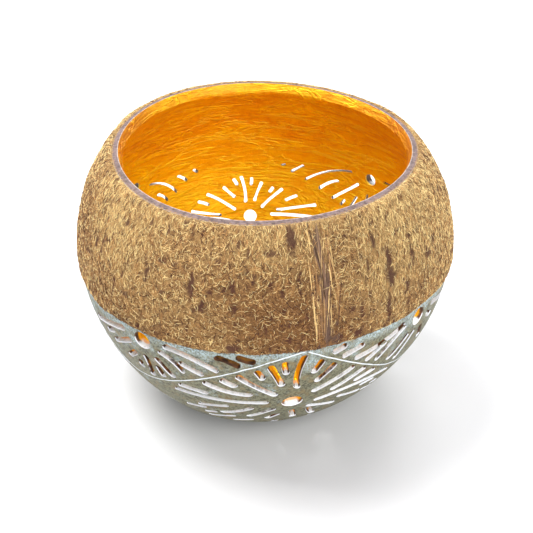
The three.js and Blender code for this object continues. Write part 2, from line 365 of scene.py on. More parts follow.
def bareShellFinish():
    look = {"olive": tint(124, 122, 96), "dark": tint(64, 60, 42), "warm": tint(126, 106, 66),
            "haze": tint(184, 204, 208), "hazeDepth": 4.5, "driftDepth": 15}
    f = Finish("bare shell")
    grain = f.cloud(1000, 3, 0.65)
    speck = f.cloud(1700, 3, 0.6)
    patch = f.cloud(90, 4, 0.6)
    wood = f.mix(grain.ramp(0.34, 0.6), look["dark"], look["olive"])
    wood = f.mix(f.cloud(330, 3).ramp(0.5, 0.68, 0, 0.7), wood, look["warm"])
    fromHusk = f.attribute("fromHusk")
    near = fromHusk.ramp(0.8, look["hazeDepth"], 0.95, 0.0) * patch.ramp(0.3, 0.6, 0.35, 1)
    rub = f.cloud(200, 4, 0.65).ramp(0.5, 0.7, 0, 0.6) * patch.ramp(0.38, 0.62)
    drift = fromHusk.ramp(3, look["driftDepth"], 0.75, 0) * f.cloud(150, 3, 0.6).ramp(0.46, 0.66)
    dust = near.most(rub).most(drift) * speck.ramp(0.4, 0.6, 0.2, 1)
    return f.set(
        Base_Color=f.mix(dust, wood, look["haze"]),
        Roughness=patch.ramp(0.3, 0.7, 0.5, 0.68),
        Normal=f.bump(grain * 0.6 + speck * 0.5, 0.4, 0.00014),
    )


def slotWallFinish(name, whiteness):
    # Scorched shell; gold that has run in from the inside, kept off the back walls so they stay dark brown
    # as painted shade, and faint in unpainted slots as painted reflected light from the gold inside; white
    # on what faces up, partly white paint and partly painted light, fading deeper in partly as painted
    # shade
    f = Finish(name)
    blotch = f.cloud(420, 3)
    sunk = f.attribute("sunk") + (blotch - 0.5) * 1.4
    colour = f.mix(blotch.ramp(0.35, 0.65), tint(50, 28, 12), tint(104, 66, 34))
    # The gold fades out towards the back (object Y) as painted shade; its 0.2 in unpainted slots is painted
    # reflected light from the lit gold inside
    gold = sunk.ramp(1.6, 2.3, 0, 1 if whiteness else 0.2) * f.axis("Y").ramp(-0.01, 0.02, 1, 0.05)
    colour = f.mix(gold, colour, tint(240, 172, 14))
    if whiteness:
        # White where the wall faces up is white paint and painted light from above; the depth ramp below
        # keeps less of it deep in the slot, partly as painted shade
        white = (f.attribute("facesUp") + (blotch - 0.5) * 0.5).ramp(0.6, 0.84, 0, whiteness)
        white = white * sunk.ramp(2.2, 2.9, 1, 0.35)
        pale = f.mix(f.cloud(900, 2).ramp(0.3, 0.6), tint(208, 217, 219), tint(238, 245, 248))
        colour = f.mix(white, colour, pale)
    return f.set(Base_Color=colour, Metallic=gold * 0.3, Roughness=0.6, Normal=f.bump(blotch, 0.4, 0.0002))


def slotLipFinish():
    f = Finish("slot lip")
    wear = f.cloud(600, 3)
    # White where the lip faces up and brown where it faces down: partly white paint, partly painted light
    # and painted shade
    white = (f.attribute("facesUp") + (wear - 0.5) * 0.8).ramp(-0.15, 0.15)
    return f.set(
        Base_Color=f.mix(white, tint(92, 76, 52), tint(240, 244, 250)), Roughness=0.65,
        Normal=f.bump(wear, 0.3, 0.0001),
    )


def rimFinish():
    # Cut shell with a painted highlight as a pale line along its inner edge on the ridge, and husk fibres
    # frayed over its outer one
    look = {"dark": tint(78, 60, 56), "light": tint(126, 105, 102), "edge": tint(214, 204, 190),
            "frayed": tint(158, 118, 72)}
    f = Finish("cut rim")
    fine = f.cloud(900, 3)
    height = f.axis("Z")
    colour = f.mix(fine.ramp(0.3, 0.7), look["dark"], look["light"])
    # The pale edge colour at the ridge's height is a painted highlight
    inner = (height + (fine - 0.5) * 0.00008).ramp(0.09395, 0.09399, 0, 0.6)
    outer = (height + (f.cloud(1400, 2) - 0.5) * 0.0006).ramp(0.09352, 0.09366, 0.9, 0)
    colour = f.mix(outer, f.mix(inner, colour, look["edge"]), look["frayed"])
    return f.set(Base_Color=colour, Roughness=0.7, Normal=f.bump(fine, 0.5, 0.0003))


def gildingFinish():
    f = Finish("gold lacquer")
    # Brushed round the bowl, yellower low down, and browner on the front of the bevel as painted shade
    streaks = f.cloud(150, 6, 0.66, f.stretched(1, 1, 6), 0.5)
    threads = f.cloud(420, 3, 0.6, f.stretched(0.35, 0.35, 3))
    sweeps = f.cloud(34, 3, 0.5, f.stretched(1, 1, 3))
    dabs = f.cloud(300, 4, 0.7, None, 1.2)
    height = f.axis("Z")
    fresh = height.ramp(0.048, 0.078, 0.12, -0.03)
    # The bevel is darkened in front and at the sides, where less light falls on it: painted shade
    bevel = height.ramp(0.0902, 0.0912) * f.axis("Y").ramp(0.012, 0.04, -0.12, 0.0)
    scratches = f.hairs(80, 4, 0.6, f.stretched(0.6, 0.6, 2.4), 0.9).ramp(0.9, 1.0)
    shade = streaks * 0.35 + sweeps * 0.2 + threads * 0.2 + dabs * 0.25 + scratches * 0.1 + fresh + bevel
    stops = [
        (0.30, tint(192, 112, 0)), (0.44, tint(225, 153, 0)),
        (0.56, tint(240, 184, 2)), (0.74, tint(250, 216, 14)),
    ]
    relief = streaks + dabs * 0.7 + threads * 0.5 + scratches * 0.6
    return f.set(
        Base_Color=f.shades(stops, shade), Metallic=0.55, Roughness=streaks.ramp(0.3, 0.7, 0.32, 0.48),
        Coat_Weight=0.1, Coat_Roughness=0.25, Normal=f.bump(relief, 0.7, 0.0007),
    )


def feltFinish(name, stained):
    # The matted ground under the loose fibres, its pattern laid out over the surface in millimetres
    f = Finish(name)
    weave = f.add("UVMap", {"uv_map": "weave"})
    curls = f.hairs(1.6, 2, 0.6, weave, 1.2).ramp(0.72, 0.98)
    fine = f.hairs(3.4, 2, 0.6, weave, 0.8).ramp(0.7, 1)
    tone, stain = f.attribute("tone"), f.attribute("stain")
    lit = curls.most(fine * 0.8)
    ground = f.mix(tone.ramp(0.25, 0.75), tint(62, 27, 14), tint(122, 66, 36))
    light = f.mix(tone.ramp(0.25, 0.75), tint(172, 120, 64), tint(232, 190, 120))
    colour = f.mix(lit, ground, light)
    colour = f.mix(stain * 0.85, colour, stained)
    return f.set(Base_Color=colour, Roughness=0.92, Normal=f.bump(lit, 1.0, 0.0006))


def fibreFinish(name, dark, middle, light, stained):
    f = Finish(name)
    grain = f.cloud(1100, 2)
    shade = f.attribute("tone") + (grain - 0.5) * 0.4
    colour = f.shades([(0.1, dark), (0.5, middle), (0.92, light)], shade)
    colour = f.mix(f.attribute("stain") * 0.8, colour, stained)
    return f.set(Base_Color=colour, Roughness=0.75, Normal=f.bump(grain, 0.3, 0.0001))


def whitingFinish():
    f = Finish("white line")
    wear = f.cloud(500, 4, 0.65)
    return f.set(
        Base_Color=f.mix(wear.ramp(0.30, 0.5), tint(186, 190, 188), tint(232, 238, 242)),
        Roughness=0.7, Normal=f.bump(wear, 0.4, 0.00012),
    )


bareShell = bareShellFinish()
slotWall = slotWallFinish("slot wall", 1)
unpaintedWall = slotWallFinish("unpainted slot wall", 0)
slotLip = slotLipFinish()
cutRim = rimFinish()
goldLacquer = gildingFinish()
redSkin, mauveSkin = tint(92, 44, 34), tint(118, 90, 76)
huskFelt = feltFinish("husk felt", redSkin)
seamFelt = feltFinish("seam felt", mauveSkin)
huskFibre = fibreFinish("husk fibre", tint(78, 36, 18), tint(206, 151, 88), tint(255, 228, 160), redSkin)
seamFibre = fibreFinish("seam fibre", tint(84, 52, 30), tint(172, 128, 78), tint(236, 198, 132), mauveSkin)
whiteLine = whitingFinish()

# The carving. Each slot is the bearing and distance of its near tip from the round's centre, those of
# its far tip, and how far it bends; bearings are counter-clockwise from the right, seen from outside.
frontFan = [
    (84, 9, 84, 25, 1.4), (101, 17.5, 100, 24.5, 0), (110, 12, 112, 24, 0), (125, 18.5, 123, 25, 0),
    (135, 8, 138, 26.5, 0.3), (149, 22, 149, 30.5, 0.3), (155, 15, 159, 33, 0.9), (170, 28.5, 170, 39, 0),
    (174, 8, 176, 40, 0), (187, 21, 190, 31.5, 0), (195, 29, 195, 36.5, 0), (194, 13, 204, 25, 0.5),
    (204, 26.5, 205, 31, 0), (217, 22, 214, 32, 0), (222, 7, 222, 18.5, 0), (238, 21, 230, 27.5, 0),
    (251, 11, 246, 17.5, 0), (262, 21, 262, 29, 0), (277, 8, 277, 18, 0), (292, 24, 294, 31, 0),
    (307, 11, 297, 21, 0), (315, 8, 328, 20, 0), (345, 17.5, 343, 28.5, 0), (355, 26, 357, 32.5, 0),
    (348, 32.5, 349, 36.5, 0), (342, 29.5, 340, 36.5, 0), (346, 8, 0, 39, 2), (11, 22.5, 13, 34, 0),
    (14, 13.5, 23, 29.5, 0), (38, 8, 34, 26, 0), (58, 13, 54, 24, 0), (71, 17, 67, 25.5, 0),
]
backFan = [
    (6, 11.5, 12, 26, -0.6), (20, 17.5, 21, 24, 0), (26, 6, 31, 21.5, 0.2), (53, 9.5, 50, 17.5, 0),
    (71, 13.5, 67, 18, 0), (72, 5.5, 79, 18, 0.5), (94, 12.5, 93, 17, 0), (107, 6, 110, 16, -0.2),
    (130, 12.5, 128, 16.5, 0), (145, 5.5, 139, 19, -0.3), (154, 16, 154, 23, 0), (166, 11, 166, 30, 0),
    (174, 8, 176, 36, 0), (187, 21, 190, 30, 0), (194, 13, 204, 25, 0.5), (217, 22, 214, 31, 0),
    (222, 7, 222, 18.5, 0), (251, 11, 246, 17.5, 0), (277, 8, 277, 18, 0), (307, 11, 297, 21, 0),
    (315, 8, 328, 20, 0), (345, 17.5, 343, 28.5, 0), (346, 8, 0, 34, 2),
]
leftRays = [
    (9, 8.5, 350, 27, 1.3), (344, 14, 340, 23, 0), (345, 6.5, 329, 17, 1.2), (309, 7, 308, 16.5, 0),
    (292, 10.5, 290, 17, 0), (267, 6.5, 270, 18, 0.8), (252, 11.5, 256, 15.5, 0), (240, 8.5, 233, 15, 0),
    (205, 6, 209, 18.5, 0), (193, 15, 198, 21, 0), (171, 8, 191, 28, 0),
]
rightRays = [
    (172, 8, 189, 29, 0.5), (189, 16, 199, 25.5, 0), (181, 7, 209, 21, -0.8), (235, 6.5, 231, 18, 0),
    (266, 5.5, 250, 18, 0), (300, 7.5, 298, 16, 0), (338, 6.5, 335, 12, 0), (5, 8.5, 350, 27, 0),
    (178, 26, 183, 34, 0), (175, 33, 178, 38, 0),
]
rearRightRays = [
    (5, 8.5, 345, 31.5, 1.8), (358, 30.5, 351, 37.5, 0.3), (358, 38.5, 355, 43, 0),
    (340, 15.5, 335, 26.5, 0.8), (326, 6.5, 321, 22.5, 0), (311, 16.5, 309, 20.5, 0), (301, 11, 298, 18, 0),
    (278, 7, 277, 14, 0), (250, 9, 250, 15, 0), (232, 8, 232, 16, 0), (216, 6, 214, 14, 0),
    (190, 14, 190, 21, 0), (166, 6.5, 174, 24, 0),
]
rearLeftRays = [
    (8, 9, 351, 26, 1), (345, 14, 343, 21, 0), (330, 7, 325, 18, 0), (305, 8, 305, 16, 0),
    (282, 12, 283, 17, 0), (262, 7, 262, 16, 0), (234, 8, 232, 17, 0), (215, 13, 219, 23.5, -0.9),
    (192, 7.5, 207, 27, -2), (186, 21, 197, 30, -0.7), (182, 28, 190, 34, -0.5), (182, 35.5, 184, 38.5, 0),
]
unpaintedRays = [(3, 26, 357, 34, 0.7), (4, 33, 360, 39.5, 0)]

# The rounds, with the radius of each middle hole. A round that repeats another has its slots drawn in
# by reach, and moved a little at random as far as play says.
rounds = [
    {"azimuth": 280, "arc": -27.8, "hole": 3.5, "slots": frontFan},
    {"azimuth": 8, "arc": -26, "hole": 3.5, "slots": frontFan, "reach": 0.86, "play": 1},
    {"azimuth": 95, "arc": -24.1, "hole": 3.1, "slots": backFan},
    {"azimuth": 188, "arc": -26, "hole": 3.5, "slots": frontFan, "reach": 0.86, "play": 1},
    {"azimuth": 233.7, "arc": -4.6, "hole": 3.2, "slots": leftRays, "unpainted": unpaintedRays},
    {"azimuth": 324.2, "arc": -5.3, "hole": 3.2, "slots": rightRays},
    {"azimuth": 47.2, "arc": 1.1, "hole": 3.0, "slots": rearRightRays},
    {"azimuth": 141, "arc": 0, "hole": 3.0, "slots": rearLeftRays},
]

# The swags hang from peaks over the low rounds. Azimuth is that of a swag's lowest point.
swagPeaks = {"azimuths": [282.7, 10, 97, 190], "drop": 0.7, "flatten": 6}
swags = {
    "left": {"azimuth": 225, "power": 1.35, "depth": 24.2},
    "right": {"azimuth": 328, "power": 1.05, "depth": 26},
    "rear_right": {"azimuth": 51, "power": 1.2, "depth": 27},
    "rear_left": {"azimuth": 144, "power": 1.2, "depth": 26},
}

# A slot's outline and section: half widths, over how many of them its ends taper, where its stations
# lie in a rounded end, and how far each level lies below the outer form and how much wider the slot is
# there. The last lines say how much slots differ, and how near they come to the husk and the lines.
slotForm = {
    "near": 1.1, "stem": 1.0, "far": 1.32, "nearTaper": 2.6, "farTaper": 3.6, "blunt": 0.03,
    "ends": (0, 0.12, 0.45, 1), "middle": 5, "holeSides": 36,
    "levels": [(-2.0, 0.5), (0.45, 0.2), (0.95, 0.0), (4.2, -0.45), (6.4, -0.5)],
    "widthRange": (0.93, 1.07), "squeezeRange": (0.95, 1.05),
    "wobble": 0.12, "wobbleRange": (0.3, 1.3), "phases": (0, 6.28), "wave": 5.2,
    "turnPlay": (-1.2, 1.2), "reachPlay": (-0.5, 0.3),
    "lineClearance": 1.9, "huskClearance": 1.0, "nearest": 7.5, "shortest": 3,
}

# The places of the shell's finishes, in the order that its mesh has them
finishPlaces = {"bare": 0, "rim": 1, "wall": 2, "lip": 3, "unpainted": 4}


def raiseLevels(bm, levels):
    # Extrudes the flat faces step by step, so that z counts the levels of a closed body
    top = bm.faces[:]
    for level in range(1, levels):
        made = bmesh.ops.extrude_face_region(bm, geom=top)["geom"]
        if level > 1:
            bmesh.ops.delete(bm, geom=top, context="FACES")
        for item in made:
            if isinstance(item, bmesh.types.BMVert):
                item.co.z = level
        top = [item for item in made if isinstance(item, bmesh.types.BMFace)]
    bmesh.ops.recalc_face_normals(bm, faces=bm.faces)


def ladder(columns, rows, levels):
    # A closed slab whose points are numbered: x from 0 to columns, y from -1 to 1, z the level
    bm = bmesh.new()
    bmesh.ops.create_grid(bm, x_segments=columns, y_segments=rows, size=0.5)
    for vert in bm.verts:
        vert.co.x = round((vert.co.x + 0.5) * columns)
        vert.co.y *= 2
    raiseLevels(bm, levels)
    return meshOf(bm, "ladder")


def post(sides, levels):
    # A closed round body of radius 1, whose z counts the levels
    bm = bmesh.new()
    bmesh.ops.create_circle(bm, cap_ends=True, segments=sides, radius=1)
    raiseLevels(bm, levels)
    return meshOf(bm, "post")


def addCut(bm, template, place):
    # Adds the template to the cutters, with each of its points moved by place
    before = len(bm.verts)
    bm.from_mesh(template)
    bm.verts.ensure_lookup_table()
    for vert in bm.verts[before:]:
        vert.co = place(vert.co)


def sag(share, power):
    # How far a swag has sunk below its peaks, at a share of the way to its lowest point
    flatten = swagPeaks["flatten"]
    correction = power / flatten
    return (share ** power - correction * share ** flatten) / (1 - correction)


def swagReach(item):
    turns = [shortTurn(peak - item["azimuth"]) for peak in swagPeaks["azimuths"]]
    return max(t for t in turns if t < 0), min(t for t in turns if t > 0)


def swagArc(item, offset):
    # The arc of a swag at an azimuth given as degrees from its lowest point
    left, right = swagReach(item)
    share = min(max(1 - offset / (left if offset < 0 else right), 0), 1)
    peak = levelEdge(item["azimuth"] + offset) - swagPeaks["drop"]
    return peak - item["depth"] * sag(share, item["power"])


def lineArc(azimuth):
    for item in swags.values():
        left, right = swagReach(item)
        offset = shortTurn(azimuth - item["azimuth"])
        if left <= offset <= right:
            return swagArc(item, offset)


def polar(bearing, distance):
    return Vector((math.cos(math.radians(bearing)), math.sin(math.radians(bearing)))) * distance


def fromRound(item, u, v):
    # A place over the surface, u to the right and v up from a round's centre
    return item["azimuth"] + math.degrees(u / rowAt(item["arc"] + v)[0]), item["arc"] + v


def clearLength(item, near, along, length):
    # How far a slot may run before it meets the husk, or the swag's line between it and the next round
    side = 1 if item["arc"] > lineArc(item["azimuth"]) else -1
    steps = 24
    for i in range(steps + 1):
        azimuth, arc = fromRound(item, *(near + along * length * i / steps))
        tooNear = (arc - lineArc(azimuth)) * side < slotForm["lineClearance"]
        if tooNear or arc > huskEdge(azimuth) - slotForm["huskClearance"]:
            return length * i / steps
    return length


def endWidth(distance, half):
    # Half width of a round end, at a distance from its tip
    if distance >= half:
        return half
    blunt = slotForm["blunt"]
    return math.sqrt(max(half * half - (half - distance) ** 2, 0)) * (1 - blunt) + blunt * half


def slotPlacer(item, slot, rng):
    nearBearing, nearDistance, farBearing, farDistance, bend = slot
    reach, play = item.get("reach", 1), item.get("play", 0)
    shift = rng.uniform(*slotForm["turnPlay"]) * play
    near = polar(nearBearing + shift, max(nearDistance * reach, min(nearDistance, slotForm["nearest"])))
    far = polar(farBearing + shift, farDistance * reach + rng.uniform(*slotForm["reachPlay"]) * play)
    along = (far - near).normalized()
    across = Vector((-along.y, along.x))
    length = clearLength(item, near, along, (far - near).length)
    if length < slotForm["shortest"]:
        return None
    parts, spread = ("near", "stem", "far"), slotForm["widthRange"]
    widths = {part: slotForm[part] * rng.uniform(*spread) for part in parts}
    phase = rng.uniform(*slotForm["phases"])
    wobble = slotForm["wobble"] * rng.uniform(*slotForm["wobbleRange"])
    ends, middle = slotForm["ends"], slotForm["middle"]

    def stationsAt(wider):
        # Where the stations lie along a level, and the slot's half width at each
        nearHalf, stem, farHalf = (widths[part] + wider for part in parts)
        start, end = -wider, length + wider
        first = [start + nearHalf * e for e in ends]
        last = [end - farHalf * e for e in reversed(ends)]
        step = (last[0] - first[-1]) / (middle + 1)
        places = first + [first[-1] + step * (i + 1) for i in range(middle)] + last
        rows = []
        for a in places:
            bulb = stem + (nearHalf - stem) * smooth(slotForm["nearTaper"] * nearHalf, nearHalf, a - start)
            bulb += (farHalf - stem) * smooth(slotForm["farTaper"] * farHalf, farHalf, end - a)
            rows.append((a, min(endWidth(a - start, nearHalf), endWidth(end - a, farHalf), bulb)))
        return rows

    levels = [(depth, stationsAt(wider)) for depth, wider in slotForm["levels"]]

    def place(co):
        depth, rows = levels[int(round(co.z))]
        a, half = rows[int(round(co.x))]
        t = min(max(a / length, 0), 1)
        aside = half * co.y + 4 * bend * t * (1 - t) + wobble * math.sin(phase + t * slotForm["wave"])
        azimuth, arc = fromRound(item, *(near + along * a + across * aside))
        return onNut(azimuth, arc, depth)

    return place


def holePlacer(item, rng):
    squeeze = rng.uniform(*slotForm["squeezeRange"])

    def place(co):
        depth, wider = slotForm["levels"][int(round(co.z))]
        u, v = co.x * (item["hole"] * squeeze + wider), co.y * (item["hole"] / squeeze + wider)
        azimuth, arc = fromRound(item, u, v)
        return onNut(azimuth, arc, depth)

    return place


def makeCutters():
    bm = bmesh.new()
    levels = len(slotForm["levels"])
    stations = 2 * len(slotForm["ends"]) + slotForm["middle"]
    slot, hole = ladder(stations - 1, 2, levels), post(slotForm["holeSides"], levels)
    rng = random.Random(seeds["carving"])
    for item in rounds:
        addCut(bm, hole, holePlacer(item, rng))
        for shape in item["slots"]:
            place = slotPlacer(item, shape, rng)
            if place:
                addCut(bm, slot, place)
    painted = len(bm.faces)
    for item in rounds:
        for shape in item.get("unpainted", []):
            addCut(bm, slot, slotPlacer(item, shape, rng))
    for template in (slot, hole):
        bpy.data.meshes.remove(template)
    # Their levels go inwards, which turned them inside out
    bmesh.ops.reverse_faces(bm, faces=bm.faces)
    for index, face in enumerate(bm.faces):
        face.material_index = finishPlaces["wall" if index < painted else "unpainted"]
    return bm


# The white line and its groove: half widths, the depths of both faces, and how far the ends stop short
line = {
    "half": 0.22, "depths": (1.0, 0.5), "trim": 0.5, "steps": 90,
    "grooveHalf": 0.25, "grooveDepths": (1.05, -2.0), "grooveTrim": -0.2,
    "wander": 0.25, "wanderScale": 0.3, "swell": 0.25, "swellScale": 0.8, "dome": 0.07,
}


def swagBar(bm, item, half, depths, trim):
    # A closed bar that follows the swag over the surface, its back a little domed
    left, right = swagReach(item)
    template = ladder(line["steps"], 2, 2)

    def at(step):
        offset = left + trim + (right - left - 2 * trim) * step / line["steps"]
        return item["azimuth"] + offset, swagArc(item, offset)

    def place(co):
        azimuth, arc = at(co.x)
        before, after = at(co.x - 0.3), at(co.x + 0.3)
        radius = rowAt(arc)[0]
        along = Vector((math.radians(after[0] - before[0]) * radius, after[1] - before[1])).normalized()
        wander = noise.noise(Vector((azimuth * line["wanderScale"], 3.1, 0))) * line["wander"]
        swell = 1 + line["swell"] * noise.noise(Vector((azimuth * line["swellScale"], 8.4, 0)))
        aside = half * co.y * swell + wander
        u, v = -along.y * aside, along.x * aside
        depth = depths[int(round(co.z))] + line["dome"] * abs(co.y)
        return onNut(azimuth + math.degrees(u / radius), arc + v, depth)

    addCut(bm, template, place)
    bpy.data.meshes.remove(template)


def spun(outline, steps):
    # Turns radius and height pairs about the axis, then presses in the nut's three lobes
    bm = bmesh.new()
    verts = [bm.verts.new((r * mm, 0, z * mm)) for r, z in outline]
    edges = [bm.edges.new(pair) for pair in zip(verts, verts[1:])]
    bmesh.ops.spin(
        bm, geom=verts + edges, axis=(0, 0, 1), cent=(0, 0, 0), angle=math.tau, steps=steps, use_merge=True,
    )
    bmesh.ops.remove_doubles(bm, verts=bm.verts, dist=1e-6)
    for vert in bm.verts:
        scale = lobe(math.atan2(vert.co.y, vert.co.x))
        vert.co.x *= scale
        vert.co.y *= scale
    bmesh.ops.recalc_face_normals(bm, faces=bm.faces)
    return bm


def profile(depthAt, fromArc, toArc, count):
    # Radius and height of the points along one face of a layer
    arcs = [fromArc + (toArc - fromArc) * i / count for i in range(count + 1)]
    return [onMeridian(arc, depthAt(arc)) for arc in arcs]


def cutPiece(piece, cutterMesh):
    cutter = addObject("cutters", cutterMesh)
    modifier = piece.modifiers.new("carve", "BOOLEAN")
    modifier.operation, modifier.solver, modifier.object = "DIFFERENCE", "MANIFOLD", cutter
    settle(piece)
    bpy.data.objects.remove(cutter)


print("shell")
shellForm = {
    "around": 192, "rings": 60, "floorRings": 6, "rimTrim": 0.8, "sharp": 32,
    "band": [  # radius and height round the edge of the mouth
        (51.15, 93.5), (50.8, 93.66), (50.2, 93.82), (49.6, 93.94), (49.25, 94), (49.0, 93.6),
    ],
    "seatFrom": -6, "seatTop": 93.4, "skin": 2.5, "huskStep": 0.35,
    "lipDepth": 0.95, "rimFrom": 93.52,
}


def buildShellBlank():
    rings, floorRings = shellForm["rings"], shellForm["floorRings"]
    outer = profile(lambda arc: layers["bare"], footArc, rimArc - shellForm["rimTrim"], rings)
    inner = profile(lambda arc: thinned(layers["wall"], arc), footArc, rimArc, rings)[::-1]
    radius, floor = inner[-1]
    outer[0] = (outer[0][0], 0.0)
    foot = [(nut["foot"] * i / floorRings, 0.0) for i in range(floorRings)]
    floorRow = [(radius * (1 - (i + 1) / floorRings), floor) for i in range(floorRings)]
    return spun(foot + outer + shellForm["band"] + inner + floorRow, shellForm["around"])


def seatHusk(bm):
    # Sinks the outer face under the husk, with the step that the husk's edge stands on
    for vert in bm.verts:
        azimuth, arc, r = polarOf(vert.co)
        outside = r >= onMeridian(arc, shellForm["skin"])[0]
        if outside and arc >= shellForm["seatFrom"] and vert.co.z <= shellForm["seatTop"] * mm:
            past = (arc - huskEdge(azimuth)) / shellForm["huskStep"] + 0.5
            depth = layers["bare"] + (layers["seat"] - layers["bare"]) * min(max(past, 0), 1)
            vert.co.xy = onNut(azimuth, arc, depth).xy


def evened(mesh, values):
    # Values of faces made into values of their corners, shared by faces of one finish that meet there
    sums = {}
    for polygon, value in zip(mesh.polygons, values):
        for vertex in polygon.vertices:
            total, count = sums.get((vertex, polygon.material_index), (0.0, 0))
            sums[vertex, polygon.material_index] = (total + value, count + 1)
    result = []
    for polygon in mesh.polygons:
        for vertex in polygon.vertices:
            total, count = sums[vertex, polygon.material_index]
            result.append(total / count)
    return result


def sortFaces(piece):
    # Gives the rim and the slots' lips their own finishes, and marks how far a face looks up along the
    # surface, how far below the husk's edge a point lies, and how deep under the outer form
    mesh = piece.data
    ups = []
    for polygon in mesh.polygons:
        azimuth, arc, r = polarOf(polygon.center)
        radius, _, nr, nz = rowAt(arc)
        place, high = polygon.material_index, polygon.center.z > shellForm["rimFrom"] * mm
        if place == finishPlaces["wall"] and (radius - r) * nr < shellForm["lipDepth"]:
            polygon.material_index = finishPlaces["lip"]
        elif place == finishPlaces["bare"] and high:
            polygon.material_index = finishPlaces["rim"]
        angle = math.radians(azimuth)
        up = Vector((-nz * math.cos(angle), -nz * math.sin(angle), nr))
        ups.append(polygon.normal.dot(up))
    below, sunk = [], []
    for vert in mesh.vertices:
        azimuth, arc, r = polarOf(vert.co)
        radius, _, nr, _ = rowAt(arc)
        below.append(huskEdge(azimuth) - arc)
        sunk.append((radius - r) * nr)
    mark(mesh, "facesUp", evened(mesh, ups), "CORNER")
    mark(mesh, "fromHusk", below)
    mark(mesh, "sunk", sunk)
    mesh.set_sharp_from_angle(angle=math.radians(shellForm["sharp"]))


cutters = makeCutters()
before = len(cutters.faces)
for item in swags.values():
    swagBar(cutters, item, line["grooveHalf"], line["grooveDepths"], line["grooveTrim"])
cutters.faces.ensure_lookup_table()
for face in cutters.faces[before:]:
    face.material_index = finishPlaces["lip"]
blank = buildShellBlank()
seatHusk(blank)
shell = finishPiece("carved_shell", blank, [bareShell, cutRim, slotWall, slotLip, unpaintedWall])
cutPiece(shell, meshOf(cutters, "cutters"))
sortFaces(shell)
join(shell, "shell")
print("shell faces", len(shell.data.polygons))

print("gilding")
gild = {
    "around": 192, "rings": 48, "floorRings": 4, "sharp": 50, "film": 0.02, "top": 93.9,
    "ripple": 0.16, "rippleTop": 93, "rippleDepth": 5.1, "alongScale": 0.06, "upScale": 0.45,
    "bevel": [(49.22, 94.03), (48.9, 93.5), (48.45, 92.5), (48.0, 91.4), (47.74, 90.7)],
}


def buildLining():
    # A film between the wall and its brushed face, up over the bevel to the rim's ridge
    rings, floorRings = gild["rings"], gild["floorRings"]
    back = profile(lambda arc: thinned(layers["wall"] + gild["film"], arc), footArc, rimArc, rings)
    front = profile(lambda arc: thinned(layers["gild"], arc), footArc, rimArc - shellForm["rimTrim"], rings)
    radius, floor = back[0]
    back = [(radius * i / floorRings, floor) for i in range(floorRings)] + back
    back.append((nut["ridge"], gild["top"]))
    radius, floor = front[0]
    front = gild["bevel"] + front[::-1]
    front += [(radius * (1 - (i + 1) / floorRings), floor) for i in range(floorRings)]
    bm = spun(back + front, gild["around"])
    for vert in bm.verts:
        # The lacquer lies in low horizontal ridges that the brush left
        _, arc, r = polarOf(vert.co)
        if vert.co.z < gild["rippleTop"] * mm and r < onMeridian(arc, thinned(gild["rippleDepth"], arc))[0]:
            x, y, z = vert.co / mm
            place = Vector((x * gild["alongScale"], y * gild["alongScale"], z * gild["upScale"]))
            ripple = noise.noise(place) * gild["ripple"]
            vert.co += Vector((-x, -y, 0)).normalized() * (ripple * mm)
    return bm


lining = finishPiece("gold_lining_film", buildLining(), [goldLacquer])
cutPiece(lining, meshOf(makeCutters(), "lining cutters"))
for polygon in lining.data.polygons:
    polygon.material_index = 0
lining.data.set_sharp_from_angle(angle=math.radians(gild["sharp"]))
join(lining, "gold_lining")
print("lining faces", len(lining.data.polygons))

print("swag lines")
for name, item in swags.items():
    bm = bmesh.new()
    swagBar(bm, item, line["half"], line["depths"], line["trim"])
    bmesh.ops.recalc_face_normals(bm, faces=bm.faces)
    paint = finishPiece("white_swag_" + name, bm, [whiteLine], smoothShading=False)
    join(paint, "swag_line_" + name)

print("husk felt")
felt = {
    "columns": 200, "rows": 76, "seamHalf": 4.6, "clear": 0.1,
    "lump": 0.26, "lumpScale": 0.11, "pile": 0.2, "pileScales": [(0.75, 0.55), (1.9, 0.45)],
    "lowRound": 0.7, "lowDrop": 0.7, "rimRound": 1.5, "rimDrop": 0.95,
    # The felt's tone is raised toward the top and in some patches and lowered in others: painted light and
    # painted shade
    "tone": 0.46, "upper": (22, 40), "upperPaintedLight": 0.16, "uneven": 0.2, "unevenScale": (2.2, 0.04),
    "paintedLightPatches": [  # azimuth, arc, half width, half height and how much lighter
        (221, 25, 26, 20, 0.1), (326, 22, 26, 22, 0.28), (268, 13, 28, 15, -0.09),
        (301, 12, 10, 14, -0.06), (284, 3, 44, 9, -0.12),
    ],
    "ragged": 0.55, "raggedScale": (1.9, 1.1), "stainFade": (1.25, 0.7), "stainReach": 5,
    "fleck": 0.9, "fleckScale": (0.6, 0.32), "fleckFade": (0.3, 0.5),
}

# The loose fibres: how many in 120 degrees of a layer, where they start as shares of the field, and
# how they lie where the felt is brushed and where it is matted. Fewer lie on a stain.
loose = {
    "count": 7000, "layers": 2, "segments": 4, "across": (0.012, 0.988), "upward": (0.005, 0.99),
    "length": (1.0, 3.8), "shorter": (0.5, 1), "width": (0.055, 0.125), "lift": (0.02, 0.3),
    "matted": (0.62, 0.4), "stray": (0.5, 1.5), "curl": (0.25, 0.75), "toneSpread": 0.42,
    "stained": 0.35, "fewer": 0.8,
}
fields = {"left": ("left", "front"), "right": ("front", "right"), "rear": ("right", "left")}

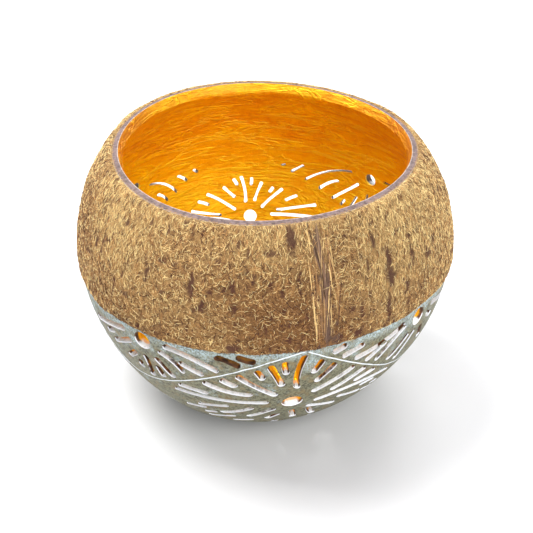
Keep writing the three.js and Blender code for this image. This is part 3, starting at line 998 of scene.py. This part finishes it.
# Dark places where the husk's red inner skin shows: azimuth, arc, half width and half length
stains = [
    (249.8, 21, 1.0, 4.6), (235.1, 20.3, 0.7, 2.8), (223, 12.8, 0.8, 2.2), (253.4, 15.5, 0.8, 2.4),
    (261.6, 22.4, 0.8, 2.4), (210.3, 20, 0.8, 2), (311, 23.8, 1.3, 3.2), (320.6, 20.2, 1.0, 3.2),
    (310.7, 17.5, 1.4, 4.5), (308.9, 6.8, 1.0, 5), (306.6, 30.5, 0.7, 3), (328, 17.2, 0.8, 2.2),
    (317, 11.5, 0.9, 2.4), (299.5, 9.5, 0.8, 3), (303, 24, 0.5, 2.4), (262, 1.8, 2.6, 1.4),
    (291.4, 2, 2.4, 1.8), (298, 1.8, 2.2, 1.3),
    (279, 36.8, 1.7, 4.6), (287.3, 33, 1.5, 5.6), (288.3, 20, 1.6, 8), (288.6, 6.5, 1.6, 5.6),
]

# More of them at random on the back, which the photograph doesn't show
backStains = {"count": 20, "ranges": [(-10, 196), (9, 36), (0.5, 1.1), (1.8, 4.5)]}
stainRng = random.Random(seeds["stains"])
for _ in range(backStains["count"]):
    stains.append(tuple(stainRng.uniform(*ends) for ends in backStains["ranges"]))

# The split between the two bundles of the front seam, as azimuths and arcs from the top down
crack = {
    "path": [(285.2, 41.4), (285.7, 36), (287, 30), (287.7, 24), (287.9, 17)],
    "half": 0.45, "core": 0.1, "depth": 0.7,
}


def over(azimuth, arc, place, placeArc):
    # How far a place lies from another over the surface, to the side and up
    return math.radians(shortTurn(azimuth - place)) * rowAt(arc)[0], arc - placeArc


def mottle(across, up, scales, layer):
    # Unevenness from -1 to 1, drawn out by a scale each way; a layer is a pattern of its own
    return noise.noise(Vector((across * scales[0], up * scales[1], layer)))


def stainAt(azimuth, arc):
    # How much of the red inner skin shows: small flecks all over, and the larger places in the list
    ragged = mottle(azimuth, arc, felt["raggedScale"], 4.0) * felt["ragged"]
    most = smooth(*felt["fleckFade"], mottle(azimuth, arc, felt["fleckScale"], 9.0)) * felt["fleck"]
    for place, placeArc, halfWidth, halfLength in stains:
        beside = abs(shortTurn(azimuth - place)) < felt["stainReach"]
        if beside and abs(arc - placeArc) < 2 * halfLength:
            u, v = over(azimuth, arc, place, placeArc)
            away = math.hypot(u / halfWidth, v / halfLength) + ragged
            most = max(most, smooth(*felt["stainFade"], away))
    return most


def crackAt(azimuth, arc):
    # 1 in the middle of the split, 0 outside it
    path = crack["path"]
    for (azimuthA, arcA), (azimuthB, arcB) in zip(path, path[1:]):
        if arcB <= arc <= arcA:
            middle = azimuthA + (azimuthB - azimuthA) * (arcA - arc) / (arcA - arcB)
            u, _ = over(azimuth, arc, middle, arc)
            return smooth(crack["half"], crack["core"], abs(u))
    return 0.0


def toneAt(azimuth, arc):
    # Lighter toward the top and in some listed patches, darker in others, as painted light and painted
    # shade, over a random unevenness; the loose fibres are laid more matted where it is darker
    angle, (around, up) = math.radians(azimuth), felt["unevenScale"]
    tone = felt["tone"] + felt["upperPaintedLight"] * smooth(*felt["upper"], arc)
    place = Vector((math.cos(angle) * around, math.sin(angle) * around, arc * up))
    tone += felt["uneven"] * noise.noise(place)
    for place, placeArc, halfWidth, halfHeight, lighter in felt["paintedLightPatches"]:
        u, v = over(azimuth, arc, place, placeArc)
        tone += lighter * math.exp(-(u / halfWidth) ** 2 - (v / halfHeight) ** 2)
    return tone


def feltBump(point):
    # Lumps of matted fibre on a broad unevenness
    broad = noise.noise(point * felt["lumpScale"]) * felt["lump"]
    fine = sum(noise.noise(point * scale) * share for scale, share in felt["pileScales"])
    return broad + fine * felt["pile"]


def feltDepth(azimuth, arc, low):
    # The felt's face, rounded down to the bare shell at its lower edge and to the rim at its upper one
    lowFade = min(max((arc - low) / felt["lowRound"], 0), 1)
    rimFade = min(max((rimArc - arc) / felt["rimRound"], 0), 1)
    bump = feltBump(onNut(azimuth, arc) / mm) * lowFade * rimFade
    rounding = (felt["lowDrop"] * (1 - lowFade) ** 2, felt["rimDrop"] * (1 - rimFade) ** 2)
    return layers["felt"] - bump + rounding[0] + rounding[1] + crack["depth"] * crackAt(azimuth, arc)


def buildBlanket(columns, rows, azimuthAt, depthAt):
    # A closed layer over the seat, with its weave laid out in millimetres
    bm = bmesh.new()
    template = ladder(columns, rows, 2)
    bm.from_mesh(template)
    bpy.data.meshes.remove(template)
    tone, stain = bm.verts.layers.float.new("tone"), bm.verts.layers.float.new("stain")
    weave = bm.loops.layers.uv.new("weave")
    laid = []
    for vert in bm.verts:
        x, y, top = vert.co.x / columns, (vert.co.y + 1) / 2, vert.co.z > 0.5
        low = huskEdge(azimuthAt(x, 0))
        arc = low + (rimArc - low) * y
        azimuth = azimuthAt(x, arc)
        vert.co = onNut(azimuth, arc, depthAt(azimuth, arc, low) if top else layers["seat"] - felt["clear"])
        # The tone attribute carries the painted light and painted shade of toneAt
        vert[tone], vert[stain] = toneAt(azimuth, arc), max(stainAt(azimuth, arc), crackAt(azimuth, arc))
        laid.append((math.radians(azimuth) * nut["radius"], arc))
    bm.verts.index_update()
    for face in bm.faces:
        for loop in face.loops:
            loop[weave].uv = laid[loop.vert.index]
    return bm


def fieldOf(fromSeam, toSeam):
    # Where a field of the felt starts and how many degrees it runs
    start = husk["seams"][fromSeam]
    return start, (husk["seams"][toSeam] - start) % 360


def buildFelt(fromSeam, toSeam):
    start, sweep = fieldOf(fromSeam, toSeam)

    def azimuthAt(x, arc):
        margin = math.degrees(felt["seamHalf"] / rowAt(arc)[0])
        return start + margin + (sweep - 2 * margin) * x

    return buildBlanket(felt["columns"], felt["rows"], azimuthAt, feltDepth)


def buildStrands(template, shapes):
    # Copies of a thin bar along z, each bent over the felt to the shape that it is given
    bm = bmesh.new()
    for _ in shapes:
        bm.from_mesh(template)
    corners = [(vert.co.x, vert.co.y, int(round(vert.co.z))) for vert in template.vertices]
    segments = max(corner[2] for corner in corners)
    mesh = meshOf(bm, "strands")
    places, tones, marks = [], [], []
    for shape in shapes:
        rows = layStrand(shape, segments)
        for x, y, level in corners:
            middle, across, outward = rows[level]
            places.extend(middle + across * x + outward * y)
        tones += [shape["tone"]] * len(corners)
        marks += [shape["stain"]] * len(corners)
    mesh.vertices.foreach_set("co", places)
    mark(mesh, "tone", tones)
    mark(mesh, "stain", marks)
    mesh.update()
    return mesh


# How far a strand keeps off the husk's edges, how deep it lies in the felt, its width at the ends and
# its thickness as shares of its full width, the part of a half wave that it swells by, and how uneven
# its curl is
strandForm = {
    "margin": 0.1, "sunk": 0.06, "ends": 0.35, "flat": 0.8, "swell": (0.12, 0.76),
    "sway": 0.8, "swayStep": 1.7,
}


def layStrand(shape, segments):
    # The middle, side and outward way of each station of a strand
    u = v = 0.0
    heading = shape["heading"]
    step = shape["length"] / segments
    low = huskEdge(shape["azimuth"])
    swellFrom, swellSpan = strandForm["swell"]
    rows = []
    for i in range(segments + 1):
        t = i / segments
        arc = min(max(shape["arc"] + v, low + strandForm["margin"]), rimArc - strandForm["margin"])
        radius, _, nr, nz = rowAt(arc)
        azimuth = shape["azimuth"] + math.degrees(u / radius)
        depth = feltDepth(azimuth, arc, low) - shape["lift"] * math.sin(math.pi * t) + strandForm["sunk"]
        angle = math.radians(azimuth)
        out = Vector((nr * math.cos(angle), nr * math.sin(angle), nz))
        east = Vector((-math.sin(angle), math.cos(angle), 0))
        up = out.cross(east)
        swell = math.sin(math.pi * (swellFrom + swellSpan * t))
        width = shape["width"] * (strandForm["ends"] + (1 - strandForm["ends"]) * swell) * mm
        across = up * math.cos(heading) - east * math.sin(heading)
        rows.append((onNut(azimuth, arc, depth), across * width, out * (strandForm["flat"] * width)))
        u += step * math.cos(heading)
        v += step * math.sin(heading)
        sway = strandForm["sway"] * math.sin(i * strandForm["swayStep"] + shape["phase"])
        heading += shape["curl"] * step * (1 + sway)
    return rows


def looseFibres(fromSeam, toSeam, rng):
    start, sweep = fieldOf(fromSeam, toSeam)
    shapes = []
    for _ in range(int(loose["count"] * sweep / 120)):
        azimuth = start + sweep * rng.uniform(*loose["across"])
        low = huskEdge(azimuth)
        arc = low + (rimArc - low) * rng.uniform(*loose["upward"])
        # The fibres take the felt's tone, with its painted light and painted shade
        tone = toneAt(azimuth, arc)
        matted = smooth(*loose["matted"], tone)
        stain = stainAt(azimuth, arc)
        if stain > loose["stained"] and rng.random() < loose["fewer"]:
            continue
        heading = math.pi / 2 * rng.choice((1, -1)) + rng.gauss(0, between(loose["stray"], matted))
        length = rng.uniform(*loose["length"]) * rng.uniform(*loose["shorter"])
        shapes.append({
            "azimuth": azimuth, "arc": arc, "heading": heading, "length": length,
            "curl": rng.gauss(0, between(loose["curl"], matted)), "phase": rng.uniform(0, 6),
            "width": rng.uniform(*loose["width"]), "lift": rng.uniform(*loose["lift"]),
            "tone": min(max(rng.gauss(tone, loose["toneSpread"]), 0.0), 1), "stain": stain,
        })
    return shapes


fibre = post(3, loose["segments"] + 1)
for index, (name, seamPair) in enumerate(fields.items()):
    base = finishPiece("felt_" + name, buildFelt(*seamPair), [huskFelt])
    join(base, "husk_felt_" + name)
    for layer in range(loose["layers"]):
        shapes = looseFibres(*seamPair, random.Random(seeds["fibres"] + 10 * layer + index))
        hair = finishMesh(f"felt_fibres_{name}_{layer + 1}", buildStrands(fibre, shapes), [huskFibre])
        join(hair, None)
    print("felt", name, len(base.data.polygons), len(hair.data.polygons))

print("seam strands")
seam = {
    "half": 4.7, "overlap": 0.2, "rows": 76, "columns": 30,
    "ridge": 0.28, "ridgeScale": (2.2, 0.05), "ridgeFade": 2,
    "count": 150, "segments": 14, "width": (0.08, 0.24), "share": (0.08, 0.45), "spread": 0.5,
    "foot": 0.3, "stray": 0.09, "curl": 0.008, "lift": (0.0, 0.12), "tone": (0.5, 0.26), "darkest": 0.02,
    "stained": 0.4, "fewer": 0.6,
}
brightStrands = {  # azimuth, lower and upper arc, radius of the strand
    "front": [
        (284.2, 19, 30, 0.2), (284.7, 8, 19, 0.3), (285.2, 2, 11, 0.22), (290.3, 19, 28, 0.24),
        (284.9, 31, 40, 0.2),
    ],
    "right": [(46.5, 8, 30, 0.2), (49.4, 12, 36, 0.18)],
    "left": [(166.4, 10, 34, 0.2), (169.6, 6, 26, 0.2)],
}
brightLook = {
    "heading": math.pi / 2 + 0.03, "curl": 0.002, "phase": 1, "lift": 0.18, "tone": 0.86, "stain": 0,
}


def buildSeamBase(middle):
    def azimuthAt(x, arc):
        return middle + (2 * x - 1) * math.degrees((felt["seamHalf"] + seam["overlap"]) / rowAt(arc)[0])

    def depthAt(azimuth, arc, low):
        across = math.radians(azimuth - middle) * nut["radius"]
        ridge = mottle(across, arc, seam["ridgeScale"], middle) * seam["ridge"]
        inside = min(1, (arc - low) / seam["ridgeFade"], (rimArc - arc) / seam["ridgeFade"])
        return feltDepth(azimuth, arc, low) - ridge * inside

    return buildBlanket(seam["columns"], seam["rows"], azimuthAt, depthAt)


def seamFibres(name, middle, rng):
    whole = rimArc - huskEdge(middle)
    shapes = []
    for _ in range(seam["count"]):
        across = min(max(rng.gauss(0, seam["spread"]), -1), 1) * seam["half"]
        length = whole * rng.uniform(*seam["share"])
        azimuth = middle + math.degrees(across / nut["radius"])
        arc = huskEdge(middle) + seam["foot"] + (whole - length) * rng.random()
        dark = max(stainAt(azimuth, arc + length / 2), crackAt(azimuth, arc + length / 2))
        if dark > seam["stained"] and rng.random() < seam["fewer"]:
            continue
        shapes.append({
            "azimuth": azimuth, "arc": arc, "heading": math.pi / 2 + rng.gauss(0, seam["stray"]),
            "length": length, "curl": rng.gauss(0, seam["curl"]), "phase": rng.uniform(0, 6),
            "width": rng.uniform(*seam["width"]), "lift": rng.uniform(*seam["lift"]),
            "tone": min(max(rng.gauss(*seam["tone"]), seam["darkest"]), 1), "stain": dark,
        })
    for azimuth, lower, upper, radius in brightStrands[name]:
        shape = {"azimuth": azimuth, "arc": lower, "length": upper - lower, "width": radius}
        shapes.append({**shape, **brightLook})
    return shapes


strand = post(4, seam["segments"] + 1)
for index, (name, middle) in enumerate(husk["seams"].items()):
    base = finishPiece("seam_" + name, buildSeamBase(middle), [seamFelt])
    join(base, "seam_strand_" + name)
    shapes = seamFibres(name, middle, random.Random(seeds["strands"] + index))
    join(finishMesh("seam_fibres_" + name, buildStrands(strand, shapes), [seamFibre]), None)
for template in (fibre, strand):
    bpy.data.meshes.remove(template)

print("floor, light and camera")
studio = {
    "floorSize": 3.0, "floorDrop": 0.0002, "floor": (0.80, 0.80, 0.80), "fade": (0.2, 0.5),
    "sky": 0.55, "skyColour": (0.92, 0.94, 1.0, 1), "white": (1, 1, 1, 1),
    "lamps": {
        "key": {"place": (-0.35, 0.15, 0.75), "size": 0.5, "power": 8.6},
        "fill": {"place": (0.4, -0.7, 0.55), "size": 0.7, "power": 6.4},
        "back": {"place": (0.25, 0.6, 0.6), "size": 0.4, "power": 4.0},
    },
}


def buildFloor():
    bm = bmesh.new()
    bmesh.ops.create_grid(bm, x_segments=2, y_segments=2, size=studio["floorSize"] / 2)
    bmesh.ops.translate(bm, verts=bm.verts, vec=(0, 0, -studio["floorDrop"]))
    f = Finish("pale floor")
    distance = f.add("VectorMath", {"operation": "LENGTH"}, {"Vector": f.place}, "Value")
    far = distance.ramp(*studio["fade"]) * f.seen()
    lit = Wire(f, f.shader.outputs[0])
    white = f.add("Emission", {}, {"Color": studio["white"]})
    f.surface("Material Output", f.add("MixShader", {}, {0: far, 1: lit, 2: white}))
    paleFloor = f.set(Base_Color=studio["floor"], Roughness=0.9)
    floor = finishPiece("floor", bm, [paleFloor], smoothShading=False)


def addLamp(name, setting):
    data = bpy.data.lights.new(name, "AREA")
    data.energy, data.size = setting["power"], setting["size"]
    lamp = addObject(name, data)
    lamp.location = setting["place"]
    aim = Vector((0, 0, nut["widest"] * mm)) - lamp.location
    lamp.rotation_euler = aim.to_track_quat("-Z", "Y").to_euler()


def lightWorld():
    world = bpy.data.worlds.new("studio")
    bpy.context.scene.world = world
    world.use_nodes = True
    n = Nodes(world.node_tree)
    sky = n.add("Background", {}, {"Color": studio["skyColour"], "Strength": studio["sky"]})
    white = n.add("Background", {}, {"Color": studio["white"]})
    n.surface("World Output", n.add("MixShader", {}, {0: n.seen(), 1: sky, 2: white}))


view = {
    "distance": 480.13, "elevation": 31.627, "fieldOfView": 22.02,
    "panDegrees": 0.172, "tiltDegrees": -0.974, "rollDegrees": -0.172,
}


def turned(a, b, angle):
    # Two square directions, both turned by an angle in their plane
    return a * math.cos(angle) - b * math.sin(angle), a * math.sin(angle) + b * math.cos(angle)


def placeCamera():
    raised = math.radians(view["elevation"])
    pan, tilt, roll = (math.radians(view[name]) for name in ("panDegrees", "tiltDegrees", "rollDegrees"))
    back = Vector((0, -math.cos(raised), math.sin(raised)))
    right, up, ahead = Vector((1, 0, 0)), Vector((0, math.sin(raised), math.cos(raised))), -back
    right, ahead = turned(right, ahead, pan)
    up, ahead = turned(up, ahead, tilt)
    right, up = turned(right, up, roll)
    data = bpy.data.cameras.new("camera")
    data.sensor_fit, data.angle = "HORIZONTAL", math.radians(view["fieldOfView"])
    camera = addObject("camera", data)
    turn = Matrix((right, up, -ahead)).transposed().to_4x4()
    place = back * view["distance"] * mm + Vector((0, 0, nut["widest"] * mm))
    camera.matrix_world = Matrix.Translation(place) @ turn
    bpy.context.scene.camera = camera


buildFloor()
for name, setting in studio["lamps"].items():
    addLamp(name, setting)
lightWorld()
placeCamera()
bpy.context.scene.view_settings.view_transform = "Standard"
